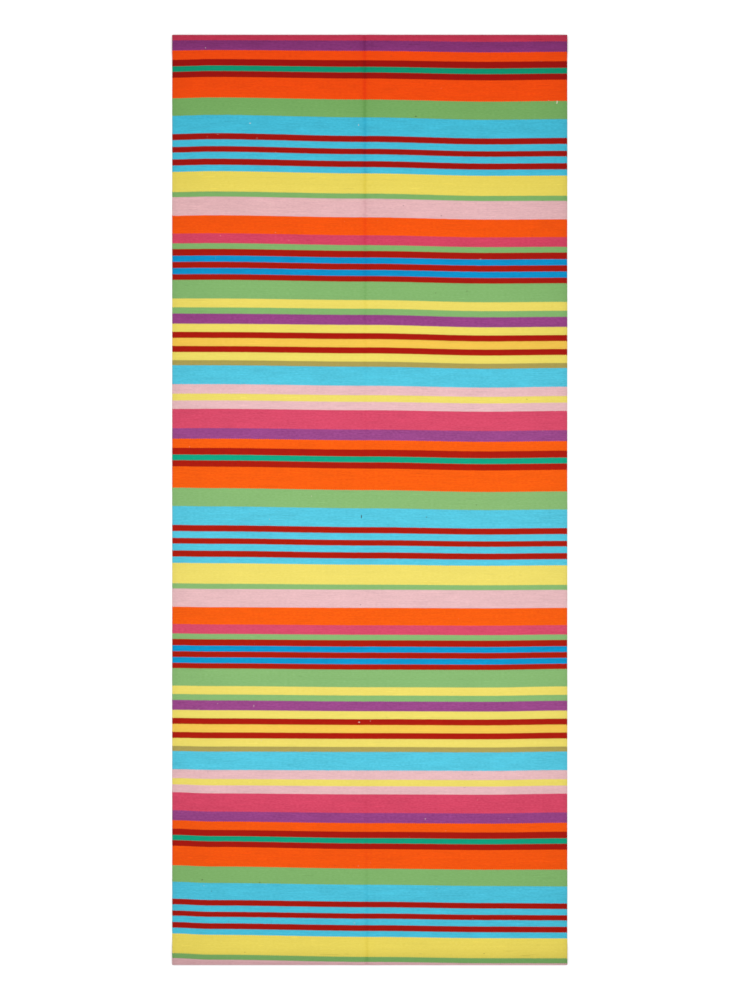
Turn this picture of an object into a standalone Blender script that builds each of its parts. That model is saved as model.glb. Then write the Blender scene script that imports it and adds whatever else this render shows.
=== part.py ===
"""Kilim runner: one flatwoven cotton cloth, lying open with its two ends turned under.

Sizes are in metres, +Z is up and the length runs along Y. The origin is on the surface that
the runner lies on, under its middle. The cloth is a grid laid along the middle of its
thickness, which Solidify makes into a closed solid.
"""

import math

import bpy
import numpy as np

WIDTH = 0.850  # from selvedge to selvedge
LENGTH = 2.000  # from folded end to folded end
CLOTH = 0.003  # thickness of one layer of the weave

HEM_TURNED = 0.028  # cloth turned under, from the fold to its raw edge
HEM_GAP = 0.0005  # air between the turned cloth and the face
HEM_CLEAR = 0.002  # level face kept past the raw edge
HEM_FALL = 0.026  # run in which the face comes down off the hem to the floor

FOLD_RADIUS = (CLOTH + HEM_GAP) / 2  # of the middle of the cloth, round the fold
FOLD_START = LENGTH / 2 - CLOTH / 2 - FOLD_RADIUS  # distance from the middle of the runner
FALL_END = FOLD_START - HEM_TURNED - HEM_CLEAR
FALL_START = FALL_END - HEM_FALL
RAW_EDGE = FOLD_START + math.pi * FOLD_RADIUS + HEM_TURNED  # measured along the cloth

CREASE_PLACE = -0.008  # where the runner was folded in half for packing, left of the middle
CREASE_SLANT = 0.0025  # how far the crease leans to the left at the top end, and right at the bottom
CREASE_RISE = 0.0012  # height of the two soft shoulders beside the crease
CREASE_SHOULDER = 0.010  # distance from the crease to the top of a shoulder
CREASE_REACH = 0.055  # where the shoulders have faded out

SELVEDGE_ROUND = 0.0015  # width over which the woven edge thins to its rounded rim
RIPPLE_RISE = 0.0010  # height that the selvedges stand off the floor at most
RIPPLE_REACH = 0.085  # how far in from the selvedge a ripple fades out
RIPPLE_END_FADE = 0.16  # length over which the hems hold the ripples down
REST_CROWN = 0.00006  # how far the middle of the runner stands clear of the floor

COTTON_COLOUR = (0.62, 0.22, 0.12, 1.0)  # the stripes taken together
COTTON_ROUGHNESS = 0.85

# Half of the length, from the middle to the raw edge: where each section of cloth ends, and
# the rows of faces that it is made of.
SECTIONS_ALONG = (
    # section, ends at, rows
    ("field", FALL_START, 15),
    ("fall off the hem", FALL_END, 5),
    ("face over the hem", FOLD_START, 2),
    ("fold", FOLD_START + math.pi * FOLD_RADIUS, 8),
    ("turned cloth", RAW_EDGE - SELVEDGE_ROUND, 2),
    ("raw edge", RAW_EDGE, 1),
)

# The width, from the left selvedge to the right one.
SECTIONS_ACROSS = (
    # section, ends at, columns
    ("left rim", -WIDTH / 2 + SELVEDGE_ROUND, 2),
    ("left ripple", -WIDTH / 2 + RIPPLE_REACH, 3),
    ("left cloth", CREASE_PLACE - CREASE_REACH, 2),
    ("left shoulder", CREASE_PLACE - CREASE_SHOULDER, 3),
    ("into the crease", CREASE_PLACE, 2),
    ("out of the crease", CREASE_PLACE + CREASE_SHOULDER, 2),
    ("right shoulder", CREASE_PLACE + CREASE_REACH, 3),
    ("right cloth", WIDTH / 2 - RIPPLE_REACH, 2),
    ("right ripple", WIDTH / 2 - SELVEDGE_ROUND, 3),
    ("right rim", WIDTH / 2, 2),
)

# How sharp the crease still is, from the bottom end to the top one.
CREASE_STRENGTH = (
    # place, share of the full rise
    (-1.00, 0.70),
    (-0.85, 0.55),
    (-0.55, 0.20),
    (0.10, 0.15),
    (0.45, 0.75),
    (0.80, 1.00),
    (1.00, 0.90),
)

# One row for each woven edge: its side, the waves along it, and where they begin.
RIPPLES = (
    # side, waves, phase
    (-1, 4.0, 0.6),
    (1, 5.0, 2.1),
)


def clear_scene():
    for old in list(bpy.data.objects):
        bpy.data.objects.remove(old, do_unlink=True)


def stations(start, sections):
    """Places from start through each section in turn, evenly spaced inside a section."""
    places = [start]
    for _, end, count in sections:
        places.extend(np.linspace(places[-1], end, count + 1)[1:])
    return np.array(places)


def smooth(share):
    share = np.clip(share, 0, 1)
    return share * share * (3 - 2 * share)


def section_of(along):
    """Place and height of the middle of the cloth, for a distance along it from the middle."""
    run = np.abs(along)
    turned = np.clip((run - FOLD_START) / FOLD_RADIUS, 0, math.pi)
    past_fold = np.maximum(run - FOLD_START - math.pi * FOLD_RADIUS, 0)
    place = np.minimum(run, FOLD_START) + FOLD_RADIUS * np.sin(turned) - past_fold
    raised = smooth((run - FALL_START) / HEM_FALL)
    height = CLOTH / 2 + raised * FOLD_RADIUS * (1 + np.cos(turned))
    return np.sign(along) * place, height


def shares_out(x, y):
    """Distance from the middle as a share of that to the selvedge rim, and to the fold."""
    across = np.minimum(np.abs(x) / (WIDTH / 2 - SELVEDGE_ROUND), 1)
    along = np.minimum(np.abs(y) / FOLD_START, 1)
    return across, along


def leaned(x, y):
    """Moves the columns sideways with the crease, and leaves both woven edges straight."""
    across, _ = shares_out(x, y)
    return x - CREASE_SLANT * (2 * y / LENGTH) * (1 - across ** 2)


def rest_lift(x, y):
    """A crown too slight to see, so that the runner rests on its four corners."""
    across, along = shares_out(x, y)
    return REST_CROWN * (1 - (across * along) ** 2)


def crease_lift(x, y):
    """A sharp valley between two soft shoulders, fading in and out along the length."""
    away = np.abs(x - CREASE_PLACE)
    rising = away / CREASE_SHOULDER
    falling = 1 - smooth((away - CREASE_SHOULDER) / (CREASE_REACH - CREASE_SHOULDER))
    places, shares = zip(*CREASE_STRENGTH)
    return CREASE_RISE * np.minimum(rising, falling) * np.interp(y, places, shares)


def ripple_lift(x, y):
    """Low waves along both woven edges, held down at the hems."""
    held = smooth((LENGTH / 2 - np.abs(y)) / RIPPLE_END_FADE)
    lift = np.zeros_like(x)
    for side, waves, phase in RIPPLES:
        near_edge = smooth(1 - (WIDTH / 2 - side * x) / RIPPLE_REACH)
        wave = np.sin(math.tau * waves * y / LENGTH + phase)
        lift += RIPPLE_RISE * near_edge * np.maximum(wave, 0) ** 2
    return lift * held


def thickness_share(x, along):
    """Thins the cloth to a rounded rim at the woven edges and at the raw ones."""
    inset = np.minimum(WIDTH / 2 - np.abs(x), RAW_EDGE - np.abs(along))
    rounding = np.clip(inset / SELVEDGE_ROUND, 0, 1)
    return 0.3 + 0.7 * np.sqrt(1 - (1 - rounding) ** 2)


def make_collection(name):
    collection = bpy.data.collections.new(name)
    bpy.context.scene.collection.children.link(collection)
    return collection


def make_cotton():
    cotton = bpy.data.materials.new("woven_cotton")
    cotton.use_nodes = True
    shader = cotton.node_tree.nodes["Principled BSDF"]
    shader.inputs["Base Color"].default_value = COTTON_COLOUR
    shader.inputs["Roughness"].default_value = COTTON_ROUGHNESS
    shader.inputs["Metallic"].default_value = 0.0
    cotton.diffuse_color = COTTON_COLOUR
    return cotton


def make_runner(collection):
    half = stations(0.0, SECTIONS_ALONG)
    along = np.concatenate([-half[:0:-1], half])
    across = stations(-WIDTH / 2, SECTIONS_ACROSS)
    bpy.ops.mesh.primitive_grid_add(
        x_subdivisions=len(across) - 1, y_subdivisions=len(along) - 1, size=1
    )
    runner = bpy.context.object
    runner.name = runner.data.name = "kilim_runner"
    for holder in list(runner.users_collection):
        holder.objects.unlink(runner)
    collection.objects.link(runner)

    # The grid's points come row by row, each row from left to right.
    s, x = (grid.ravel() for grid in np.meshgrid(along, across, indexing="ij"))
    y, z = section_of(s)
    z = z + crease_lift(x, y) + ripple_lift(x, y) + rest_lift(x, y)
    points = np.column_stack([leaned(x, y), y, z])
    runner.data.vertices.foreach_set("co", points.ravel())
    runner.data.update()

    group = runner.vertex_groups.new(name="cloth_thickness")
    for index, share in enumerate(thickness_share(x, s)):
        group.add([index], float(share), "REPLACE")
    layer = runner.modifiers.new("layer", "SOLIDIFY")
    layer.thickness = CLOTH
    layer.offset = 0.0
    layer.use_even_offset = True
    layer.vertex_group = group.name
    runner.data.shade_smooth()
    return runner


def main():
    clear_scene()
    collection = make_collection("kilim_runner")
    runner = make_runner(collection)
    runner.data.materials.append(make_cotton())


main()
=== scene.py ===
"""Dresses the kilim runner: its striped cotton, selvedges, slubs, lint and hem stitches."""

import math

import bpy
import numpy as np
from bpy.props import FloatProperty, FloatVectorProperty, IntProperty, PointerProperty
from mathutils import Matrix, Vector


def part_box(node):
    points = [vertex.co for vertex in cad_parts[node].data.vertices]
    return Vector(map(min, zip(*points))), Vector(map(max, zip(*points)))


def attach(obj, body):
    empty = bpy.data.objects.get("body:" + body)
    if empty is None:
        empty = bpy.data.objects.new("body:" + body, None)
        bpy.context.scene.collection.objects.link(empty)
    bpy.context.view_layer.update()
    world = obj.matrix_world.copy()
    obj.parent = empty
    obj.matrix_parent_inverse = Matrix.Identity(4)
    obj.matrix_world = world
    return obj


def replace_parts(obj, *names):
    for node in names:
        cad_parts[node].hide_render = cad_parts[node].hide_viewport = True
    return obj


bl_info = {
    "name": "Kilim runner",
    "version": (1, 0, 0),
    "blender": (4, 5, 0),
    "location": "3D View > Sidebar > Kilim",
    "description": "Weaves a striped cotton kilim runner and lights it from above",
    "category": "Add Mesh",
}

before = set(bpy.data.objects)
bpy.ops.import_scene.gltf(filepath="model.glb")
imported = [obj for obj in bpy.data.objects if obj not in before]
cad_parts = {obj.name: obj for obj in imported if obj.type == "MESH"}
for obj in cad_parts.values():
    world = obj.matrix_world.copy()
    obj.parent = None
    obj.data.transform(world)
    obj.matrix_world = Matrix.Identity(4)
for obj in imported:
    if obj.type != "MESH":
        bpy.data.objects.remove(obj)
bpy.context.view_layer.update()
CLOTH_NODE = "kilim_runner"
CLOTH_LOW, CLOTH_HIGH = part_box(CLOTH_NODE)

# The photograph's frame, and the runner's outline in it, in pixels.
PHOTO_HEIGHT = 1000
PHOTO_CENTRE = (370.5, 500.0)
OUTLINE_LEFT, OUTLINE_RIGHT = 172.25, 567.22
OUTLINE_TOP, OUTLINE_BOTTOM = 34.85, 964.95

MM = 0.001
STUDIO_LEVEL = 1.25  # light on the runner, where 1 shows a matt surface in its own colour

# One repeat of the stripes, as a weaver charts it: the yarn, and how many picks of it.
CHART = (
    ("rose", 37),
    ("purple", 20),
    ("orange", 18),
    ("madder", 13),
    ("teal", 11),
    ("madder", 12),
    ("orange", 41),
    ("green", 35),
    ("sky", 36),
    ("madder", 12),
    ("sky", 13),
    ("madder", 11),
    ("sky", 13),
    ("madder", 12),
    ("sky", 12),
    ("yellow", 39),
    ("green", 10),
    ("pink", 36),
    ("orange", 35),
    ("rose", 19),
    ("green", 11),
    ("madder", 13),
    ("blue", 12),
    ("madder", 12),
    ("blue", 12),
    ("madder", 11),
    ("green", 36),
    ("yellow", 17),
    ("green", 12),
    ("purple", 20),
    ("yellow", 16),
    ("madder", 12),
    ("amber", 16),
    ("madder", 12),
    ("yellow", 16),
    ("olive", 10),
    ("sky", 37),
    ("pink", 18),
    ("yellow", 13),
    ("pink", 16),
)
REPEAT = sum(picks for _, picks in CHART)
TOP_PICK = 25.0  # picks of the first stripe that are turned under at the top end

# How hard the picks were beaten down, from the top end to the bottom one.
BEAT = (
    # share of the length, millimetres a pick
    (0.00, 1.092),
    (0.09, 1.102),
    (0.20, 1.113),
    (0.32, 1.089),
    (0.44, 1.137),
    (0.56, 1.107),
    (0.69, 1.044),
    (0.82, 1.096),
    (0.91, 0.985),
    (1.00, 1.110),
)

# How far the picks rise above their place in the middle, in millimetres. A fall is negative.
WANDER = (
    # share of the length, left edge, left bow, right sag, right edge
    (0.00, 0.5, 0.5, -2.5, -1.5),
    (0.03, 1.0, 2.8, -3.2, -2.0),
    (0.06, 2.4, 4.2, -4.0, -2.4),
    (0.10, 4.2, 6.2, -5.4, -4.2),
    (0.17, 3.2, 4.6, -5.0, -4.6),
    (0.25, 4.0, 4.4, -4.0, -3.2),
    (0.31, 2.8, 2.4, -5.2, -4.4),
    (0.38, 3.6, 3.6, -4.0, -2.0),
    (0.41, 2.6, 3.0, -2.8, -1.2),
    (0.48, 5.4, 4.4, -4.2, -2.8),
    (0.56, 4.5, 3.8, -2.6, -1.5),
    (0.60, 2.4, 1.4, -1.0, -0.2),
    (0.70, 3.6, 2.6, -0.6, 1.8),
    (0.78, 2.0, 0.8, -0.9, 0.8),
    (0.82, 5.4, 2.4, -0.6, 1.8),
    (0.88, 7.6, 5.0, -2.0, -0.8),
    (0.92, 6.2, 3.4, -3.0, -4.0),
    (1.00, 8.4, 5.0, -2.8, -3.0),
)
WANDER_PLACES = (-1.0, -0.8, 0.6, 1.0)  # of the last four columns, as shares of half the width

# Painted shade: the cotton darker and deeper in colour towards the ends of the runner, where
# less light falls.
PAINTED_END_SHADE = (
    # share of the length, depth
    (0.00, 0.9),
    (0.05, 0.8),
    (0.13, 0.7),
    (0.20, 0.35),
    (0.30, 0.2),
    (0.45, 0.0),
    (0.75, 0.0),
    (0.90, 0.35),
    (1.00, 0.6),
)

# How sharp the packing crease still is, from the bottom end to the top one.
CREASE_STRENGTH = (
    # place, share of the full rise
    (-1.00, 0.70),
    (-0.85, 0.55),
    (-0.55, 0.20),
    (0.10, 0.15),
    (0.45, 0.75),
    (0.80, 1.00),
    (1.00, 0.90),
)

# How dark the painted shade along the crease is.
CREASE_SHADE_DARKNESS = (
    # share of the length, darkness
    (0.00, 0.90),
    (0.13, 0.94),
    (0.23, 0.52),
    (0.37, 0.18),
    (0.55, 0.05),
    (0.77, 0.07),
    (0.90, 0.25),
    (0.96, 0.60),
    (1.00, 0.90),
)

# How much painted shade darkens the cotton towards the woven edges.
EDGE_SHADE_AMOUNT = (
    # share of the length, left edge, right edge
    (0.00, 1.0, 1.45),
    (0.28, 1.0, 1.45),
    (0.38, 1.0, 1.0),
    (1.00, 1.0, 1.1),
)

# How far the painted shade reaches, in millimetres.
CREASE_LINE = (4.6, 2.9)  # left of the crease, and right of it
CREASE_SHADE = 14  # to either side
HEM_SHADE = 22  # in from each folded end
HEM_SHADE_FADE = 14  # past that
RIM_SHADE_REACH = 14  # in from each woven edge

# What the painted shade is made of.
CREASE_SHARES = (0.85, 0.15)  # the thin line, and the soft shade round it
EDGE_SHARES = (0.62, 0.38)  # a slow darkening towards the edge, and the rim itself

# How much each painted shade darkens the cotton, and deepens its colour.
END_SHADE_DARKENS, END_SHADE_DEEPENS = 0.03, 0.25
CREASE_DARKENS, CREASE_DEEPENS = 0.05, 0.17
HEM_DARKENS = 0.19
EDGE_DARKENS = 0.108

# How much each unevenness of the weft changes the cotton's tone.
PASS_TONE = 0.07  # from one pass of the weft to the next
DRIFT_TONE = 0.12  # broad bands of dye
STREAK_TONE = 0.22  # long streaks in the yarn
KNOT_TONE = 0.12  # short thick places
GRAIN_TONE = 0.08  # single beads of yarn
PATCH_TONE = 0.08  # broad patches of the cloth
# painted shade: darker between the beads of the weft, lighter where it rises over a warp
BEAD_PAINTED_SHADE = 0.05  # where the weft rises over a warp
SLUB_TONE = 0.1
KNOTS_DEEPEN = 0.2

# The hue whose dye took least evenly, in degrees, and how uneven dye is at the middle hues.
UNEVEN_HUE = 265
UNEVEN_MEAN = 1.2

# One row for each woven edge: its side, the waves along it, and where they begin.
RIPPLES = (
    # side, waves, phase
    (-1, 4.0, 0.6),
    (1, 5.0, 2.1),
)

# Lint and seed specks that show: millimetres right of the middle and above it, length, turn
# in degrees, and tone, from -1 for dark seed husk to 1 for pale lint.
SPECKS = (
    (-24, -478, 4.5, 0, 1.0),
    (118, -686, 3.0, 10, 0.9),
    (-250, -443, 3.0, 80, 0.8),
    (403, 855, 9.0, 84, 0.9),
    (-256, 810, 3.5, 20, 0.8),
    (-22, 806, 3.0, 70, 0.8),
    (-238, -823, 3.0, 50, -1.0),
    (101, 825, 4.0, 0, -1.0),
    (122, -37, 3.6, 30, -0.9),
    (210, 449, 2.6, 40, -0.9),
    (-18, -36, 9.0, 88, -0.7),
    (74, 633, 2.2, 0, -0.8),
    (-270, -972, 2.2, 15, -0.6),
    (-361, -817, 3.5, 30, -0.8),
    (151, -875, 3.0, 0, -0.9),
    (155, 611, 3.0, 0, -0.8),
    (143, 445, 2.4, 60, -0.8),
    (188, -108, 2.4, 0, -0.7),
    (239, 518, 3.2, 0, 0.9),
)


def dye(red, green, blue):
    """The colour of a yarn that looks like this, from 0 to 255 a channel, in the studio."""
    shares = [level / 255 for level in (red, green, blue)]
    seen = (s / 12.92 if s <= 0.04045 else ((s + 0.055) / 1.055) ** 2.4 for s in shares)
    return tuple(level / STUDIO_LEVEL for level in seen)


def length_property(name, description, default):
    return FloatProperty(
        name=name, description=description, default=default, precision=4, unit="LENGTH"
    )


def colour_property(name, description, default):
    return FloatVectorProperty(
        name=name, description=description, default=default, subtype="COLOR", min=0, max=1
    )


class KilimCloth(bpy.types.PropertyGroup):
    """Sizes of the woven cloth and of how it lies."""

    width: length_property("Width", "From selvedge to selvedge", CLOTH_HIGH.x - CLOTH_LOW.x)
    length: length_property("Length", "Between the folded ends", CLOTH_HIGH.y - CLOTH_LOW.y)
    thickness: length_property("Thickness", "One layer of the weave", 3 * MM)
    warp_pitch: length_property("Warp pitch", "From one warp to the next", 2.4 * MM)
    rib_height: length_property("Rib height", "Of the rib over each warp", 0.12 * MM)
    hem_turned: length_property("Hem", "Cloth turned under at each end", 28 * MM)
    hem_gap: length_property("Hem gap", "Air between the hem's two layers", 0.5 * MM)
    hem_clear: length_property("Hem clearance", "Level face past the raw edge", 2 * MM)
    hem_fall: length_property("Hem fall", "Run down from the hem to the floor", 26 * MM)
    crease_place: length_property("Crease", "Packing crease, right of the middle", -8 * MM)
    crease_slant: length_property("Crease slant", "Lean of the crease at the ends", 2.5 * MM)
    crease_rise: length_property("Crease rise", "Height of the crease's shoulders", 1.2 * MM)
    crease_shoulder: length_property("Shoulder", "From the crease to its shoulders", 10 * MM)
    crease_reach: length_property("Crease reach", "Where the shoulders end", 55 * MM)
    ripple_rise: length_property("Ripple rise", "Height of the edge ripples", 1.0 * MM)
    ripple_reach: length_property("Ripple reach", "Width of the edge ripples", 85 * MM)
    ripple_end_fade: length_property("Ripple fade", "Length held flat at the ends", 160 * MM)


class KilimYarns(bpy.types.PropertyGroup):
    """Colours of the dyed cotton, and of what clings to it."""

    rose: colour_property("Rose", "Deep rose pink", dye(220, 76, 107))
    purple: colour_property("Purple", "Violet purple", dye(156, 72, 139))
    orange: colour_property("Orange", "Bright orange", dye(252, 95, 4))
    madder: colour_property("Madder", "Dark madder red", dye(174, 21, 0))
    teal: colour_property("Teal", "Emerald teal", dye(6, 167, 133))
    green: colour_property("Green", "Leaf green", dye(139, 188, 117))
    sky: colour_property("Sky", "Bright sky blue", dye(86, 202, 227))
    yellow: colour_property("Yellow", "Lemon yellow", dye(243, 225, 108))
    pink: colour_property("Pink", "Pale shell pink", dye(236, 191, 194))
    blue: colour_property("Blue", "Strong mid blue", dye(0, 152, 208))
    amber: colour_property("Amber", "Warm amber yellow", dye(249, 204, 84))
    olive: colour_property("Olive", "Light olive", dye(176, 162, 87))
    lint: colour_property("Lint", "Undyed cotton lint", dye(244, 232, 212))
    husk: colour_property("Husk", "Dark specks of seed husk", dye(58, 44, 36))
    thread: colour_property("Thread", "Sewing thread of the hems", dye(226, 214, 196))


class KilimDetails(bpy.types.PropertyGroup):
    """Counts and sizes of the small things on the cloth."""

    turn_pitch: length_property("Turn pitch", "From one weft turn to the next", 2.18 * MM)
    turn_yarn: length_property("Turn yarn", "Radius of the yarn at a weft turn", 0.74 * MM)
    slub_count: IntProperty(name="Slubs", description="Thick places in the weft", default=1500)
    slub_length: length_property("Slub length", "Of the longest slubs", 46 * MM)
    slub_width: length_property("Slub width", "Of the widest slubs", 2.3 * MM)
    slub_height: length_property("Slub height", "Above the face, at most", 0.30 * MM)
    speck_count: IntProperty(name="Specks", description="Loose lint and husk", default=130)
    speck_length: length_property("Speck length", "Of the longest loose specks", 2.7 * MM)
    stitch_pitch: length_property("Stitch pitch", "From one hem stitch to the next", 7 * MM)
    stitch_thread: length_property("Stitch thread", "Radius of the sewing thread", 0.4 * MM)
    seed: IntProperty(name="Seed", description="Fixes all that is scattered", default=11)


class KilimStage(bpy.types.PropertyGroup):
    """The floor, lights and camera."""

    floor_size: length_property("Floor", "Side of the floor", 60.0)
    floor_colour: colour_property("Floor colour", "Plain and pale", (0.92, 0.92, 0.92))
    lamp_height: length_property("Lamp height", "Of the soft lamp overhead", 2.6)
    lamp_size: length_property("Lamp size", "Side of the soft lamp", 3.4)
    lamp_power: FloatProperty(name="Lamp power", description="In watts", default=65.0)
    room_light: FloatProperty(name="Room light", description="From all round", default=0.7)
    lens: FloatProperty(name="Lens", description="Focal length in millimetres", default=85.0)


class Wire:
    """A node's output that can stand in an expression; each operation adds a Math node."""

    def __init__(self, graph, socket):
        self.graph = graph
        self.socket = socket

    def math(self, operation, *others):
        return self.graph.math(operation, self, *others)

    def __add__(self, other):
        return self.math("ADD", other)

    def __sub__(self, other):
        return self.math("SUBTRACT", other)

    def __rsub__(self, other):
        return self.graph.math("SUBTRACT", other, self)

    def __mul__(self, other):
        return self.math("MULTIPLY", other)

    def __truediv__(self, other):
        return self.math("DIVIDE", other)

    def __mod__(self, other):
        return self.math("FLOORED_MODULO", other)

    def __gt__(self, other):
        return self.math("GREATER_THAN", other)

    def __lt__(self, other):
        return self.math("LESS_THAN", other)

    def __abs__(self):
        return self.math("ABSOLUTE")

    __radd__ = __add__
    __rmul__ = __mul__


class Graph:
    """A node tree that is written as expressions and calls."""

    def __init__(self, tree):
        self.tree = tree

    def node(self, kind, settings=None, inputs=None, output=0):
        """Adds a node: first its settings, then its sockets' values or links by name."""
        added = self.tree.nodes.new(kind)
        for name, value in (settings or {}).items():
            setattr(added, name, value)
        for key, value in (inputs or {}).items():
            self.feed(added, key, value)
        return Wire(self, self.socket_of(added.outputs, output))

    @staticmethod
    def socket_of(sockets, key):
        if isinstance(key, int):
            return sockets[key]
        return next(s for s in sockets if key in (s.identifier, s.name))

    def feed(self, node, key, value):
        socket = self.socket_of(node.inputs, key)
        if isinstance(value, Wire):
            self.tree.links.new(value.socket, socket)
        else:
            socket.default_value = value

    def math(self, operation, *values):
        return self.node(
            "ShaderNodeMath", {"operation": operation}, dict(enumerate(values))
        )

    def vector(self, x=0.0, y=0.0, z=0.0):
        return self.node("ShaderNodeCombineXYZ", inputs={"X": x, "Y": y, "Z": z})

    def split(self, vector):
        first = self.node("ShaderNodeSeparateXYZ", inputs={0: vector})
        return [Wire(self, socket) for socket in first.socket.node.outputs]


class Surface(Graph):
    """A material's tree, with a Principled BSDF whose sockets it feeds."""

    def __init__(self, name, roughness, **constants):
        self.material = bpy.data.materials.new(name)
        self.material.use_nodes = True
        super().__init__(self.material.node_tree)
        self.shader = self.tree.nodes["Principled BSDF"]
        self.feed(self.shader, "Roughness", roughness)
        for socket, value in constants.items():
            self.feed(self.shader, socket.replace("_", " "), value)

    def attribute(self, name, output="Vector"):
        return self.node("ShaderNodeAttribute", {"attribute_name": name}, output=output)

    def noise(self, vector, detail=2.0, roughness=0.5):
        """Noise from 0 to 1 with features about one unit across."""
        return self.node(
            "ShaderNodeTexNoise",
            {"noise_dimensions": "3D"},
            {"Vector": vector, "Scale": 1.0, "Detail": detail, "Roughness": roughness},
        )

    def mix(self, share, first, second):
        return self.node(
            "ShaderNodeMix",
            {"data_type": "RGBA"},
            {"Factor_Float": share, "A_Color": first, "B_Color": second},
            output="Result_Color",
        )

    def scaled(self, colour, level):
        """A colour made lighter or darker by a number."""
        return self.node(
            "ShaderNodeVectorMath", {"operation": "SCALE"}, {0: colour, "Scale": level}
        )

    def bump(self, height, strength, distance):
        normal = self.node(
            "ShaderNodeBump",
            inputs={"Strength": strength, "Distance": distance, "Height": height},
        )
        self.feed(self.shader, "Normal", normal)


class Growth(Graph):
    """A Geometry Nodes tree with named inputs, that ends in real, painted geometry."""

    def __init__(self, name, sizes):
        super().__init__(bpy.data.node_groups.new(name, "GeometryNodeTree"))
        self.sizes = sizes
        face = self.tree.interface
        face.new_socket("Geometry", in_out="INPUT", socket_type="NodeSocketGeometry")
        face.new_socket("Geometry", in_out="OUTPUT", socket_type="NodeSocketGeometry")
        for label, value in sizes.items():
            kind = "NodeSocketInt" if isinstance(value, int) else "NodeSocketFloat"
            face.new_socket(label, in_out="INPUT", socket_type=kind)
        self.entry = self.tree.nodes.new("NodeGroupInput")

    def size(self, label):
        return Wire(self, self.entry.outputs[label])

    def named(self, label):
        """A number that each point carries."""
        return self.node(
            "GeometryNodeInputNamedAttribute", {"data_type": "FLOAT"}, {"Name": label}
        )

    def random(self, low, high, stream):
        """A random number for each point, from a stream of its own."""
        return self.node(
            "FunctionNodeRandomValue",
            {"data_type": "FLOAT"},
            {"Min_001": low, "Max_001": high, "Seed": self.size("Seed") + stream},
            output="Value_001",
        )

    def moved(self, geometry, **inputs):
        return self.node("GeometryNodeSetPosition", inputs={"Geometry": geometry, **inputs})

    def copies(self, points, instance, rotation, scale):
        return self.node(
            "GeometryNodeInstanceOnPoints",
            inputs={
                "Points": points,
                "Instance": instance,
                "Rotation": rotation,
                "Scale": scale,
            },
        )

    def joined(self, *parts):
        gathered = self.node("GeometryNodeJoinGeometry")
        for part in parts:
            self.tree.links.new(part.socket, gathered.socket.node.inputs[0])
        return gathered

    def finish(self, geometry, material):
        real = self.node("GeometryNodeRealizeInstances", inputs={"Geometry": geometry})
        smooth = self.node("GeometryNodeSetShadeSmooth", inputs={"Geometry": real})
        painted = self.node(
            "GeometryNodeSetMaterial", inputs={"Geometry": smooth, "Material": material}
        )
        self.feed(self.tree.nodes.new("NodeGroupOutput"), "Geometry", painted)

    def grow(self, name, seedbed):
        """Runs the tree on a mesh and returns its result as an object with a plain mesh."""
        maker = bpy.data.objects.new(name + "_maker", seedbed)
        bpy.context.scene.collection.objects.link(maker)
        modifier = maker.modifiers.new("growth", "NODES")
        modifier.node_group = self.tree
        for item in self.tree.interface.items_tree:
            if item.in_out == "INPUT" and item.name in self.sizes:
                modifier[item.identifier] = self.sizes[item.name]
        graph = bpy.context.evaluated_depsgraph_get()
        mesh = bpy.data.meshes.new_from_object(maker.evaluated_get(graph))
        maker.modifiers.remove(modifier)
        bpy.data.objects.remove(maker)
        if not len(mesh.polygons):
            raise RuntimeError(name + " grew no faces")
        mesh.name = name
        grown = bpy.data.objects.new(name, mesh)
        bpy.context.scene.collection.objects.link(grown)
        return grown


def points_mesh(name, points, edges=(), **attributes):
    """A mesh of bare points or of a line, with a number at each point for each attribute."""
    mesh = bpy.data.meshes.new(name)
    mesh.from_pydata([tuple(point) for point in points], edges, [])
    for label, values in attributes.items():
        layer = mesh.attributes.new(label, "FLOAT", "POINT")
        layer.data.foreach_set("value", np.asarray(values, np.float32))
    return mesh


def smooth(share):
    share = np.clip(share, 0, 1)
    return share * share * (3 - 2 * share)


def eased(place, places, values):
    """Reads a table at a place, with a soft step from each row to the next."""
    places = np.asarray(places, float)
    row = np.clip(np.searchsorted(places, place, side="right") - 1, 0, len(places) - 2)
    share = smooth((place - places[row]) / (places[row + 1] - places[row]))
    values = np.asarray(values, float)
    return values[row] + (values[row + 1] - values[row]) * share


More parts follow.
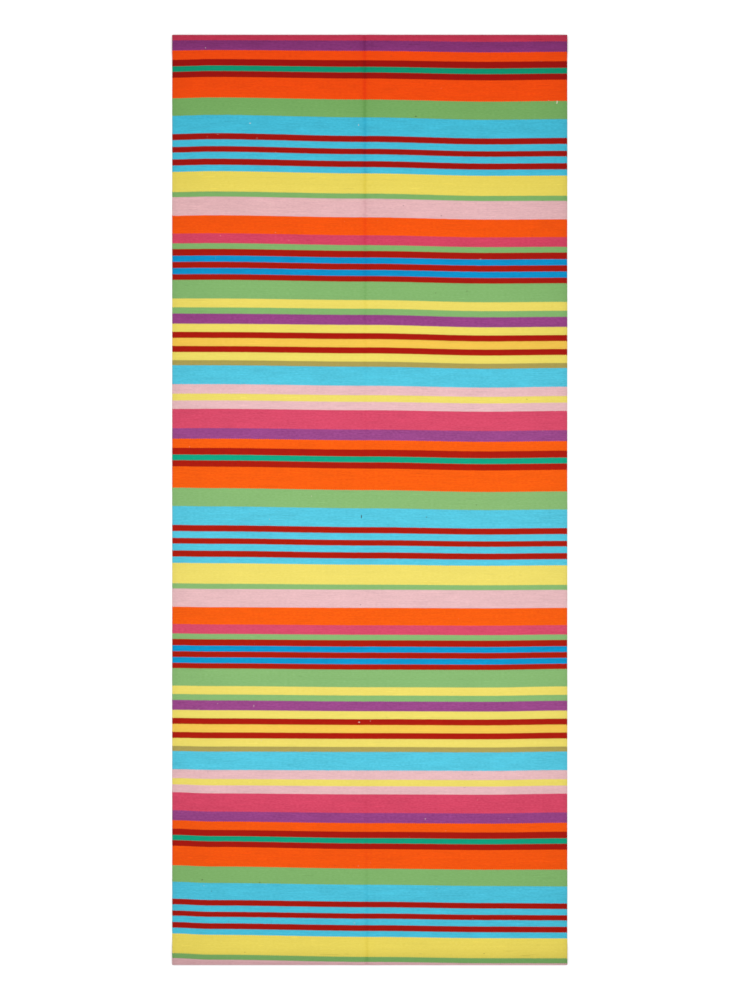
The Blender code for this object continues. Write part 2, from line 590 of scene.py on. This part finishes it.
class Lie:
    """How the runner lies, worked out from its sizes.

    Pieces are made flat in the weave's own frame: x across, y along the cloth from the middle,
    z above the middle of its thickness. place() turns the ends under, lets the picks wander,
    and adds the crease and the ripples.
    """

    def __init__(self, cloth):
        self.cloth = cloth
        self.half_width = cloth.width / 2
        self.half_length = cloth.length / 2
        self.radius = (cloth.thickness + cloth.hem_gap) / 2
        self.fold_start = self.half_length - cloth.thickness / 2 - self.radius
        self.fold_end = self.fold_start + math.pi * self.radius
        self.rim = self.fold_start + math.pi * self.radius / 2
        self.raw_edge = self.fold_end + cloth.hem_turned
        self.fall_end = self.fold_start - cloth.hem_turned - cloth.hem_clear
        self.fall_start = self.fall_end - cloth.hem_fall
        self.warps = round(cloth.width / cloth.warp_pitch)
        past_rim = 40 * MM
        self.beat_run = np.linspace(-past_rim, cloth.length + past_rim, 4000)
        shares, pitches = zip(*BEAT)
        pitch = np.interp(self.beat_run / cloth.length, shares, pitches) * MM
        steps = np.diff(self.beat_run) * (1 / pitch[1:] + 1 / pitch[:-1]) / 2
        counted = np.concatenate([[0.0], np.cumsum(steps)])
        self.beat_picks = counted - np.interp(0.0, self.beat_run, counted) + TOP_PICK

    def section(self, along):
        """Place and height of the middle of the cloth."""
        run = np.abs(along)
        turned = np.clip((run - self.fold_start) / self.radius, 0, math.pi)
        past_fold = np.maximum(run - self.fold_end, 0)
        place = np.minimum(run, self.fold_start) + self.radius * np.sin(turned) - past_fold
        raised = smooth((run - self.fall_start) / self.cloth.hem_fall)
        height = self.cloth.thickness / 2 + raised * self.radius * (1 + np.cos(turned))
        return np.sign(along) * place, height

    def top_share(self, along):
        """Distance from the top end, as a share of the length."""
        return np.clip((self.rim - along) / self.cloth.length, 0, 1)

    def rise(self, x, along):
        """How far a pick has wandered towards the top end."""
        shares, *columns = zip(*WANDER)
        down = self.top_share(along)
        left_edge, left_bow, right_sag, right_edge = (
            eased(down, shares, column) for column in columns
        )
        u = x / self.half_width
        far_left, bow, sag, far_right = WANDER_PLACES
        left = np.where(
            u < bow,
            left_edge + (left_bow - left_edge) * smooth((u - far_left) / (bow - far_left)),
            left_bow * smooth(u / bow),
        )
        right = np.where(
            u > sag,
            right_sag + (right_edge - right_sag) * smooth((u - sag) / (far_right - sag)),
            right_sag * smooth(u / sag),
        )
        return np.where(u < 0, left, right) * MM

    def picks(self, along):
        return np.interp(self.rim - along, self.beat_run, self.beat_picks)

    def crease_line(self, y):
        return self.cloth.crease_place - self.cloth.crease_slant * y / self.half_length

    def leaned(self, x, y):
        """Moves the cloth sideways with the crease, and leaves both woven edges straight."""
        lean = self.cloth.crease_slant * y / self.half_length
        return x - lean * (1 - (x / self.half_width) ** 2)

    def crease_strength(self, y):
        places, shares = zip(*CREASE_STRENGTH)
        return np.interp(y, places, shares)

    def lift(self, x, y):
        """Height that the crease's shoulders and the edge ripples add."""
        cloth = self.cloth
        away = np.abs(x - cloth.crease_place)
        rising = away / cloth.crease_shoulder
        reach = cloth.crease_reach - cloth.crease_shoulder
        falling = 1 - smooth((away - cloth.crease_shoulder) / reach)
        lift = cloth.crease_rise * np.minimum(rising, falling) * self.crease_strength(y)
        held = smooth((self.half_length - np.abs(y)) / cloth.ripple_end_fade)
        for side, waves, phase in RIPPLES:
            near_edge = smooth(1 - (self.half_width - side * x) / cloth.ripple_reach)
            wave = np.sin(math.tau * waves * y / cloth.length + phase)
            lift = lift + cloth.ripple_rise * near_edge * np.maximum(wave, 0) ** 2 * held
        return lift

    def place(self, piece, follows_picks):
        """Lays a piece out, and writes where its points are in the weave.

        A piece that follows the picks is bent with them. The cloth itself keeps its shape, and
        the picks wander over it.
        """
        mesh = piece.data
        x, along, height = read_points(mesh).T
        if follows_picks:
            on_loom = along
            along = along + self.rise(x, along)
        else:
            on_loom = along - self.rise(x, along)
        step = 0.05 * MM
        y, z = self.section(along)
        before, after = self.section(along - step), self.section(along + step)
        tangent = np.array([after[0] - before[0], after[1] - before[1]])
        tangent /= np.linalg.norm(tangent, axis=0)
        y_out = y - tangent[1] * height
        z_out = z + tangent[0] * height + self.lift(x, y)
        x_out = self.leaned(x, y)
        write_points(mesh, np.column_stack([x_out, y_out, z_out]))
        warp = (x + self.half_width) / self.cloth.warp_pitch
        self.write_weave(mesh, warp, self.picks(on_loom), along, y, x_out)
        return piece

    def write_weave(self, mesh, warp, pick, along, y, x):
        """Attributes that the cotton reads: its place in the weave, and its painted shade
        towards the ends, along the crease, at the folded ends and towards the woven edges.
        """
        down = self.top_share(along)
        # Painted shade: darker and deeper towards the ends of the runner.
        end_shade = eased(down, *zip(*PAINTED_END_SHADE))
        write_attribute(mesh, "weave", np.column_stack([warp, pick, end_shade]), "FLOAT_VECTOR")
        # Painted shade along the crease: a thin dark line, and a soft shade round it.
        away = x - self.crease_line(y)
        line = np.exp(-((away / (np.where(away < 0, *CREASE_LINE) * MM)) ** 2))
        shade = np.exp(-((away / (CREASE_SHADE * MM)) ** 2))
        line_share, shade_share = CREASE_SHARES
        crease = (line_share * line + shade_share * shade) * eased(down, *zip(*CREASE_SHADE_DARKNESS))
        # Painted shade at each folded end.
        from_end = self.half_length - np.abs(y)
        hem = smooth(1 - (from_end - HEM_SHADE * MM) / (HEM_SHADE_FADE * MM))
        # Painted shade: darker towards both woven edges, and most at their rims.
        out = np.abs(x) / self.half_width
        rim = smooth(1 - (self.half_width - np.abs(x)) / (RIM_SHADE_REACH * MM))
        shares, left, right = zip(*EDGE_SHADE_AMOUNT)
        edge_shade = np.where(x < 0, eased(down, shares, left), eased(down, shares, right))
        slow_share, rim_share = EDGE_SHARES
        edge = (slow_share * out**5 + rim_share * rim) * edge_shade
        painted_shade = np.column_stack([crease, hem, edge])
        write_attribute(mesh, "painted_shade", painted_shade, "FLOAT_VECTOR")


def read_points(mesh):
    points = np.empty(len(mesh.vertices) * 3)
    mesh.vertices.foreach_get("co", points)
    return points.reshape(-1, 3)


def write_points(mesh, points):
    mesh.vertices.foreach_set("co", points.ravel())
    mesh.update()


def write_attribute(mesh, name, values, kind="FLOAT"):
    layer = mesh.attributes.new(name, kind, "POINT")
    key = "vector" if kind == "FLOAT_VECTOR" else "value"
    layer.data.foreach_set(key, np.ascontiguousarray(values, np.float32).ravel())


def lie_of(context):
    return Lie(context.scene.kilim_cloth)


def declare(piece):
    """The piece moves with the runner."""
    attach(piece, "root")
    return piece


def striped_cotton(context):
    """Weft-faced cotton in the charted stripes, or the one that is there already."""
    made = bpy.data.materials.get("striped_cotton")
    if made:
        return made
    yarns = context.scene.kilim_yarns
    cotton = Surface("striped_cotton", 0.88, Specular_IOR_Level=0.12, Sheen_Weight=0.03)
    # Where each point is in the weave, and the painted shade towards the ends.
    warp, pick, end_shade = cotton.split(cotton.attribute("weave"))
    # Painted shade along the crease, at the folded ends and towards the woven edges.
    crease, hem, edge = cotton.split(cotton.attribute("painted_shade"))
    tone = cotton.attribute("tone", "Fac")

    # A pick shows over every other warp, so two colours meet in teeth one pick deep.
    bead_x = (warp * math.pi).math("SINE")
    tooth = (bead_x * 1.1).math("MAXIMUM", -0.5).math("MINIMUM", 0.5) + 0.5
    uneven = cotton.noise(cotton.vector(warp * 0.31, pick * 0.02)) - 0.5
    place = (pick + tooth + uneven * 0.9) % float(REPEAT)
    colour = (*getattr(yarns, CHART[0][0]), 1.0)
    start = 0
    for (_, picks), (yarn, _) in zip(CHART, CHART[1:]):
        start += picks
        colour = cotton.mix(place > float(start), colour, (*getattr(yarns, yarn), 1.0))

    # Each pass of weft has its own tone. Blue and pink dyes took less evenly than yellow ones.
    hue = cotton.node(
        "ShaderNodeSeparateColor", {"mode": "HSV"}, {"Color": colour}, output="Red"
    )
    from_uneven = hue * math.tau - math.radians(UNEVEN_HUE)
    uneven_dye = UNEVEN_MEAN + from_uneven.math("COSINE")
    passes = cotton.noise(cotton.vector(7.3, pick * 0.42, warp * 0.002), detail=1.0) - 0.5
    streaks = cotton.noise(cotton.vector(warp * 0.07, pick * 0.5), detail=3.0) - 0.5
    knots = cotton.noise(cotton.vector(warp * 0.38, pick * 0.5, 5.0), detail=1.0) - 0.5
    grain = cotton.noise(cotton.vector(warp * 0.9, pick * 0.9, 3.1), detail=2.0) - 0.5
    drift = cotton.noise(cotton.vector(warp * 0.05, pick * 0.09, 6.5), detail=1.0) - 0.5
    patches = cotton.noise(cotton.vector(warp * 0.02, pick * 0.012, 9.0)) - 0.5
    bead_y = (pick * math.pi).math("COSINE")
    bead = bead_x * bead_y
    along_weft = drift * DRIFT_TONE + streaks * STREAK_TONE + knots * KNOT_TONE
    mean_bead = 0.64  # of the bead's height across a warp
    level = (
        1.0
        + passes * PASS_TONE
        + (along_weft + grain * GRAIN_TONE) * uneven_dye
        + patches * PATCH_TONE
        # painted shade: darker between the beads of the weft, lighter over them
        + bead * BEAD_PAINTED_SHADE
        + (abs(bead_x) - mean_bead) * BEAD_PAINTED_SHADE
        + tone * SLUB_TONE
    )
    # Painted shade: darker and deeper towards the ends and along the crease, darker at the
    # folded ends and towards the woven edges.
    level = level * (1.0 - END_SHADE_DARKENS * end_shade) * (1.0 - HEM_DARKENS * hem)
    level = level * (1.0 - EDGE_DARKENS * edge) * (1.0 - CREASE_DARKENS * crease)
    deeper = 1.0 + END_SHADE_DEEPENS * end_shade + CREASE_DEEPENS * crease - knots * KNOTS_DEEPEN
    dyed = cotton.node("ShaderNodeGamma", inputs={"Color": colour, "Gamma": deeper})
    cotton.feed(cotton.shader, "Base Color", cotton.scaled(dyed, level))

    twist = cotton.noise(cotton.vector(warp * 5.0 + pick * 1.5, pick * 3.0), detail=1.0)
    relief = bead * 0.4 + abs(bead_x) * 0.35 + streaks * 0.4 + twist * 0.35
    cotton.bump(relief, strength=1.0, distance=0.42 * MM)
    return cotton.material


def lint_and_husk(context):
    yarns = context.scene.kilim_yarns
    fluff = Surface("lint_and_husk", 0.95, Specular_IOR_Level=0.1, Sheen_Weight=0.1)
    tone = fluff.attribute("tone", "Fac")
    place = fluff.node("ShaderNodeTexCoord", output="Object")
    fibres_a_metre = 2500.0
    fine = fluff.noise(fluff.scaled(place, fibres_a_metre))
    pale = fluff.mix(fine, (*yarns.lint, 1.0), (*[c * 0.8 for c in yarns.lint], 1.0))
    dark = fluff.mix(fine, (*yarns.husk, 1.0), (*[c * 2.0 for c in yarns.husk], 1.0))
    fluff.feed(fluff.shader, "Base Color", fluff.mix(tone > 0.0, dark, pale))
    fluff.bump(fine, strength=0.5, distance=0.1 * MM)
    return fluff.material


def sewing_thread(context):
    thread = Surface("sewing_thread", 0.7, Specular_IOR_Level=0.2)
    x, y, z = thread.split(thread.node("ShaderNodeTexCoord", output="Object"))
    ply_length = 0.6 * MM
    ply = ((x + y + z) * (math.tau / ply_length)).math("SINE")
    colour = tuple(context.scene.kilim_yarns.thread)
    thread.feed(thread.shader, "Base Color", thread.scaled(colour, 0.92 + ply * 0.08))
    thread.bump(ply, strength=0.6, distance=0.06 * MM)
    return thread.material


def lengthwise_stations(lie):
    """Places of the cloth's rows from one raw edge to the other, closest round the folds."""
    sections = (
        # ends at, rows
        (lie.fall_start, 19),
        (lie.fall_end, 4),
        (lie.fold_start, 1),
        (lie.fold_end, 8),
        (lie.raw_edge, 1),
    )
    places = [0.0]
    for end, rows in sections:
        places.extend(np.linspace(places[-1], end, rows + 1)[1:])
    half = np.array(places)
    return np.concatenate([-half[:0:-1], half])


def cloth_growth(lie, material):
    """Sweeps a ribbed ring, as thick as the cloth and round at both edges, along a line."""
    cloth = lie.cloth
    tree = Growth(
        "woven_cloth",
        {
            "Warps": lie.warps,
            "Width": cloth.width - 0.5 * MM,
            "Thickness": cloth.thickness,
            "Rib height": cloth.rib_height,
            "Edge round": 1.6 * MM,
        },
    )
    line = tree.node("GeometryNodeMeshToCurve", inputs={"Mesh": tree.size("Geometry")})
    face_points = tree.size("Warps") * 3 + 1
    back_points = tree.size("Warps") + 1
    ring = tree.node(
        "GeometryNodeCurvePrimitiveCircle",
        {"mode": "RADIUS"},
        {"Resolution": face_points + back_points, "Radius": 1.0},
    )
    index = tree.node("GeometryNodeInputIndex")
    on_back = index > (face_points - 0.5)
    face_share = index / (face_points - 1)
    back_share = 1 - (index - face_points) / (back_points - 1)
    x = (face_share + on_back * (back_share - face_share) - 0.5) * tree.size("Width")
    inset = tree.size("Width") / 2 - abs(x)
    slack = 1 - (inset / tree.size("Edge round")).math("MINIMUM", 1.0)
    rounding = 0.35 + 0.65 * (1 - slack * slack).math("SQRT")
    groove = ((index % 3.0) < 0.5) * (1 - on_back) * tree.size("Rib height")
    height = (tree.size("Thickness") / 2 * rounding - groove) * (1 - 2 * on_back)
    ring = tree.moved(ring, Position=tree.vector(x, -1 * height))
    swept = tree.node(
        "GeometryNodeCurveToMesh",
        inputs={"Curve": line, "Profile Curve": ring, "Fill Caps": True},
    )
    tree.finish(swept, material)
    return tree


def edge_loops(name, material, seed, **sizes):
    """Small C-shaped loops of yarn round the cloth's rim, along both of its sides."""
    tree = Growth(name, {"Seed": seed, **sizes})
    points = tree.node(
        "GeometryNodeMeshLine",
        {"mode": "OFFSET"},
        {
            "Count": tree.size("Count"),
            "Start Location": tree.vector(0.0, tree.size("Pitch") * tree.size("First")),
            "Offset": tree.vector(0.0, tree.size("Pitch")),
        },
    )
    wrapped = math.radians(280)
    arc = tree.node(
        "GeometryNodeCurveArc",
        {"mode": "RADIUS"},
        {
            "Resolution": 7,
            "Radius": tree.size("Wrap"),
            "Start Angle": -wrapped / 2,
            "Sweep Angle": wrapped,
        },
    )
    x, y, _ = tree.split(tree.node("GeometryNodeInputPosition"))
    wrap = tree.size("Wrap")
    flattened = (y * tree.size("Flatten")).math("MINIMUM", wrap).math("MAXIMUM", wrap * -1)
    arc = tree.moved(arc, Position=tree.vector(x * tree.size("Stretch"), flattened))
    yarn = tree.node(
        "GeometryNodeCurvePrimitiveCircle",
        {"mode": "RADIUS"},
        {"Resolution": 5, "Radius": tree.size("Yarn")},
    )
    loop = tree.node(
        "GeometryNodeCurveToMesh",
        inputs={"Curve": arc, "Profile Curve": yarn, "Fill Caps": True},
    )
    upright = tree.node(
        "GeometryNodeTransform",
        inputs={"Geometry": loop, "Rotation": (math.radians(90), 0.0, 0.0)},
    )
    reach = tree.size("Edge") - wrap * tree.size("Stretch") - tree.size("Yarn")
    sides = []
    for side, turn, stream in ((1, 0.0, 1), (-1, math.pi, 5)):
        slant = tree.size("Slant") * tree.random(0.7, 1.3, stream)
        size = tree.random(tree.size("Least"), 1.0, stream + 1)
        loops = tree.copies(
            points,
            upright,
            tree.vector(slant, 0.0, turn + tree.size("Lean")),
            tree.vector(size, tree.size("Spread"), size),
        )
        sides.append(
            tree.node(
                "GeometryNodeTransform",
                inputs={"Geometry": loops, "Translation": tree.vector(reach * side)},
            )
        )
    tree.finish(tree.joined(*sides), material)
    return tree


def scatter(name, material, segments, rings):
    """Small rounded bodies on points that carry their length, width, height and turn."""
    tree = Growth(name, {"Segments": segments, "Rings": rings})
    body = tree.node(
        "GeometryNodeMeshUVSphere",
        inputs={"Segments": tree.size("Segments"), "Rings": tree.size("Rings"), "Radius": 0.5},
    )
    bodies = tree.copies(
        tree.size("Geometry"),
        body,
        tree.vector(0.0, 0.0, tree.named("turn")),
        tree.vector(tree.named("long"), tree.named("wide"), tree.named("high")),
    )
    tree.finish(bodies, material)
    return tree


class KILIM_OT_cloth(bpy.types.Operator):
    """Weave the cloth, with its ends turned under"""

    bl_idname = "kilim.cloth"
    bl_label = "Cloth"

    def execute(self, context):
        lie = lie_of(context)
        places = lengthwise_stations(lie)
        points = [(0.0, place, 0.0) for place in places]
        line = points_mesh("length_line", points, [(i, i + 1) for i in range(len(points) - 1)])
        growth = cloth_growth(lie, striped_cotton(context))
        cloth = lie.place(growth.grow("kilim_cloth", line), follows_picks=False)
        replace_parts(declare(cloth), CLOTH_NODE)
        return {"FINISHED"}


class KILIM_OT_selvedges(bpy.types.Operator):
    """Turn the weft round both woven edges"""

    bl_idname = "kilim.selvedges"
    bl_label = "Selvedges"

    def execute(self, context):
        lie = lie_of(context)
        details = context.scene.kilim_details
        count = math.floor((2 * lie.raw_edge - 2 * MM) / details.turn_pitch)
        growth = edge_loops(
            "weft_turns",
            striped_cotton(context),
            details.seed,
            Count=count,
            First=(1 - count) / 2,
            Pitch=details.turn_pitch,
            Edge=lie.half_width,
            Wrap=lie.cloth.thickness / 2 - details.turn_yarn,
            Yarn=details.turn_yarn,
            Stretch=1.0,
            Flatten=1.0,
            Spread=1.38,
            Least=0.93,
            Slant=0.16,
            Lean=0.0,
        )
        turns = growth.grow("selvedge_turns", points_mesh("edge_seed", [(0.0, 0.0, 0.0)]))
        declare(lie.place(turns, follows_picks=False))
        return {"FINISHED"}


class KILIM_OT_slubs(bpy.types.Operator):
    """Scatter thick places along the weft"""

    bl_idname = "kilim.slubs"
    bl_label = "Slubs"

    def execute(self, context):
        lie = lie_of(context)
        details = context.scene.kilim_details
        draw = np.random.default_rng(details.seed)
        count = details.slub_count
        long = details.slub_length * (0.18 + 0.82 * draw.random(count) ** 2)
        wide = details.slub_width * draw.uniform(0.55, 1.0, count)
        high = details.slub_height * draw.uniform(0.5, 1.0, count)
        x = draw.uniform(-1, 1, count) * (lie.half_width - 3 * MM - long / 2)
        along = draw.uniform(-1, 1, count) * (lie.fold_start - 2 * MM)
        # A slub is the cap of a longer, wider body whose middle is sunk in the cloth.
        sunk = 0.6
        chord = math.sqrt(1 - sunk**2)
        body = high / (1 - sunk)
        seedbed = points_mesh(
            "slub_places",
            np.column_stack([x, along, lie.cloth.thickness / 2 - body * sunk]),
            long=long / chord,
            wide=wide / chord,
            high=body * 2,
            turn=draw.normal(0, 0.012, count),
            tone=draw.uniform(-0.7, 1.0, count),
        )
        growth = scatter("weft_slubs", striped_cotton(context), segments=8, rings=7)
        declare(lie.place(growth.grow("weft_slubs", seedbed), follows_picks=True))
        return {"FINISHED"}


class KILIM_OT_specks(bpy.types.Operator):
    """Lay lint and seed husk on the face"""

    bl_idname = "kilim.specks"
    bl_label = "Lint and husk"

    def execute(self, context):
        lie = lie_of(context)
        details = context.scene.kilim_details
        draw = np.random.default_rng(details.seed + 1)
        count = details.speck_count
        x, along, long, turn, tone = (np.array(column, float) for column in zip(*SPECKS))
        x = np.append(x * MM, draw.uniform(-0.98, 0.98, count) * lie.half_width)
        along = np.append(along * MM, draw.uniform(-0.98, 0.98, count) * lie.half_length)
        loose = details.speck_length * (0.3 + 0.7 * draw.random(count) ** 3)
        long = np.append(long * MM, loose)
        turn = np.append(np.radians(turn), draw.uniform(0, math.pi, count))
        tone = np.append(tone, np.where(draw.random(count) < 0.55, 1.0, -1.0))
        wide = np.minimum(long * 0.5, 1.9 * MM)
        high = np.minimum(long * 0.25, 0.5 * MM)
        face = np.full(len(x), lie.cloth.thickness / 2)
        seedbed = points_mesh(
            "speck_places",
            np.column_stack([x, along, face]),
            long=long,
            wide=wide,
            high=high,
            turn=turn,
            tone=tone,
        )
        growth = scatter("lint_and_husk", lint_and_husk(context), segments=7, rings=5)
        declare(lie.place(growth.grow("lint_and_husk", seedbed), follows_picks=False))
        return {"FINISHED"}


class KILIM_OT_stitches(bpy.types.Operator):
    """Sew down the raw edges on the back"""

    bl_idname = "kilim.stitches"
    bl_label = "Hem stitches"

    def execute(self, context):
        lie = lie_of(context)
        details = context.scene.kilim_details
        count = math.floor((lie.cloth.width - 12 * MM) / details.stitch_pitch)
        growth = edge_loops(
            "hem_stitches",
            sewing_thread(context),
            details.seed,
            Count=count,
            First=(1 - count) / 2,
            Pitch=details.stitch_pitch,
            Edge=lie.raw_edge + 1.4 * MM,
            Wrap=lie.cloth.thickness / 2 - details.stitch_thread * 0.6,
            Yarn=details.stitch_thread,
            Stretch=3.0,
            Flatten=1.35,
            Spread=1.0,
            Least=1.0,
            Slant=0.0,
            Lean=0.5,
        )
        stitches = growth.grow("hem_stitches", points_mesh("hem_seed", [(0.0, 0.0, 0.0)]))
        x, y, z = read_points(stitches.data).T
        write_points(stitches.data, np.column_stack([-y, x, z]))
        declare(lie.place(stitches, follows_picks=False))
        return {"FINISHED"}


class KILIM_OT_stage(bpy.types.Operator):
    """Set up the floor, the lights and the camera"""

    bl_idname = "kilim.stage"
    bl_label = "Stage"

    def execute(self, context):
        stage = context.scene.kilim_stage
        cloth = context.scene.kilim_cloth
        self.lay_floor(stage)
        self.hang_lights(context, stage)
        self.place_camera(context, stage, cloth)
        context.scene.view_settings.view_transform = "Standard"
        return {"FINISHED"}

    @staticmethod
    def lay_floor(stage):
        half = stage.floor_size / 2
        level = -0.2 * MM  # clear of the hem stitches
        corners = [(-half, -half, level), (half, -half, level)]
        corners += [(half, half, level), (-half, half, level)]
        mesh = bpy.data.meshes.new("studio_floor")
        mesh.from_pydata(corners, [], [(0, 1, 2, 3)])
        floor = bpy.data.objects.new("studio_floor", mesh)
        bpy.context.scene.collection.objects.link(floor)
        paper = Surface("studio_paper", 0.95, Specular_IOR_Level=0.1)
        paper.feed(paper.shader, "Base Color", (*stage.floor_colour, 1.0))
        mesh.materials.append(paper.material)

    @staticmethod
    def hang_lights(context, stage):
        world = bpy.data.worlds.new("studio_room")
        world.use_nodes = True
        sky = world.node_tree.nodes["Background"]
        sky.inputs["Color"].default_value = (1.0, 1.0, 1.0, 1.0)
        sky.inputs["Strength"].default_value = stage.room_light
        context.scene.world = world
        light = bpy.data.lights.new("soft_lamp", "AREA")
        light.shape = "SQUARE"
        light.size = stage.lamp_size
        light.energy = stage.lamp_power
        lamp = bpy.data.objects.new("soft_lamp", light)
        lamp.location = (0.0, 0.0, stage.lamp_height)
        lamp.visible_camera = False
        context.scene.collection.objects.link(lamp)

    @staticmethod
    def place_camera(context, stage, cloth):
        """Straight above, so far up that the runner fills its place in the photograph."""
        lens = bpy.data.cameras.new("photo_camera")
        lens.lens = stage.lens
        lens.clip_end = 200
        pixel = cloth.length / (OUTLINE_BOTTOM - OUTLINE_TOP)
        distance = pixel * PHOTO_HEIGHT * stage.lens / lens.sensor_width
        x = PHOTO_CENTRE[0] - (OUTLINE_LEFT + OUTLINE_RIGHT) / 2
        y = (OUTLINE_TOP + OUTLINE_BOTTOM) / 2 - PHOTO_CENTRE[1]
        camera = bpy.data.objects.new("photo_camera", lens)
        camera.location = (x * pixel, y * pixel, distance + cloth.thickness)
        context.scene.collection.objects.link(camera)
        context.scene.camera = camera


STEPS = (
    KILIM_OT_cloth,
    KILIM_OT_selvedges,
    KILIM_OT_slubs,
    KILIM_OT_specks,
    KILIM_OT_stitches,
    KILIM_OT_stage,
)
GROUPS = (
    # property of the scene, its class, heading
    ("kilim_cloth", KilimCloth, "Cloth"),
    ("kilim_yarns", KilimYarns, "Yarns"),
    ("kilim_details", KilimDetails, "Details"),
    ("kilim_stage", KilimStage, "Stage"),
)


class KILIM_PT_panel(bpy.types.Panel):
    """Steps, sizes and colours of the kilim runner"""

    bl_idname = "KILIM_PT_panel"
    bl_label = "Kilim runner"
    bl_space_type = "VIEW_3D"
    bl_region_type = "UI"
    bl_category = "Kilim"

    def draw(self, context):
        for step in STEPS:
            self.layout.operator(step.bl_idname)
        for holder, group, heading in GROUPS:
            box = self.layout.box()
            box.label(text=heading)
            for name in group.__annotations__:
                box.prop(getattr(context.scene, holder), name)


def register():
    for holder, group, _ in GROUPS:
        bpy.utils.register_class(group)
        setattr(bpy.types.Scene, holder, PointerProperty(type=group))
    for part in (*STEPS, KILIM_PT_panel):
        bpy.utils.register_class(part)


def unregister():
    for part in (KILIM_PT_panel, *STEPS):
        bpy.utils.unregister_class(part)
    for holder, group, _ in GROUPS:
        delattr(bpy.types.Scene, holder)
        bpy.utils.unregister_class(group)


def main():
    register()
    for step in STEPS:
        group, name = step.bl_idname.split(".")
        getattr(getattr(bpy.ops, group), name)()
    lie_of(bpy.context)


if __name__ == "__main__":
    main()
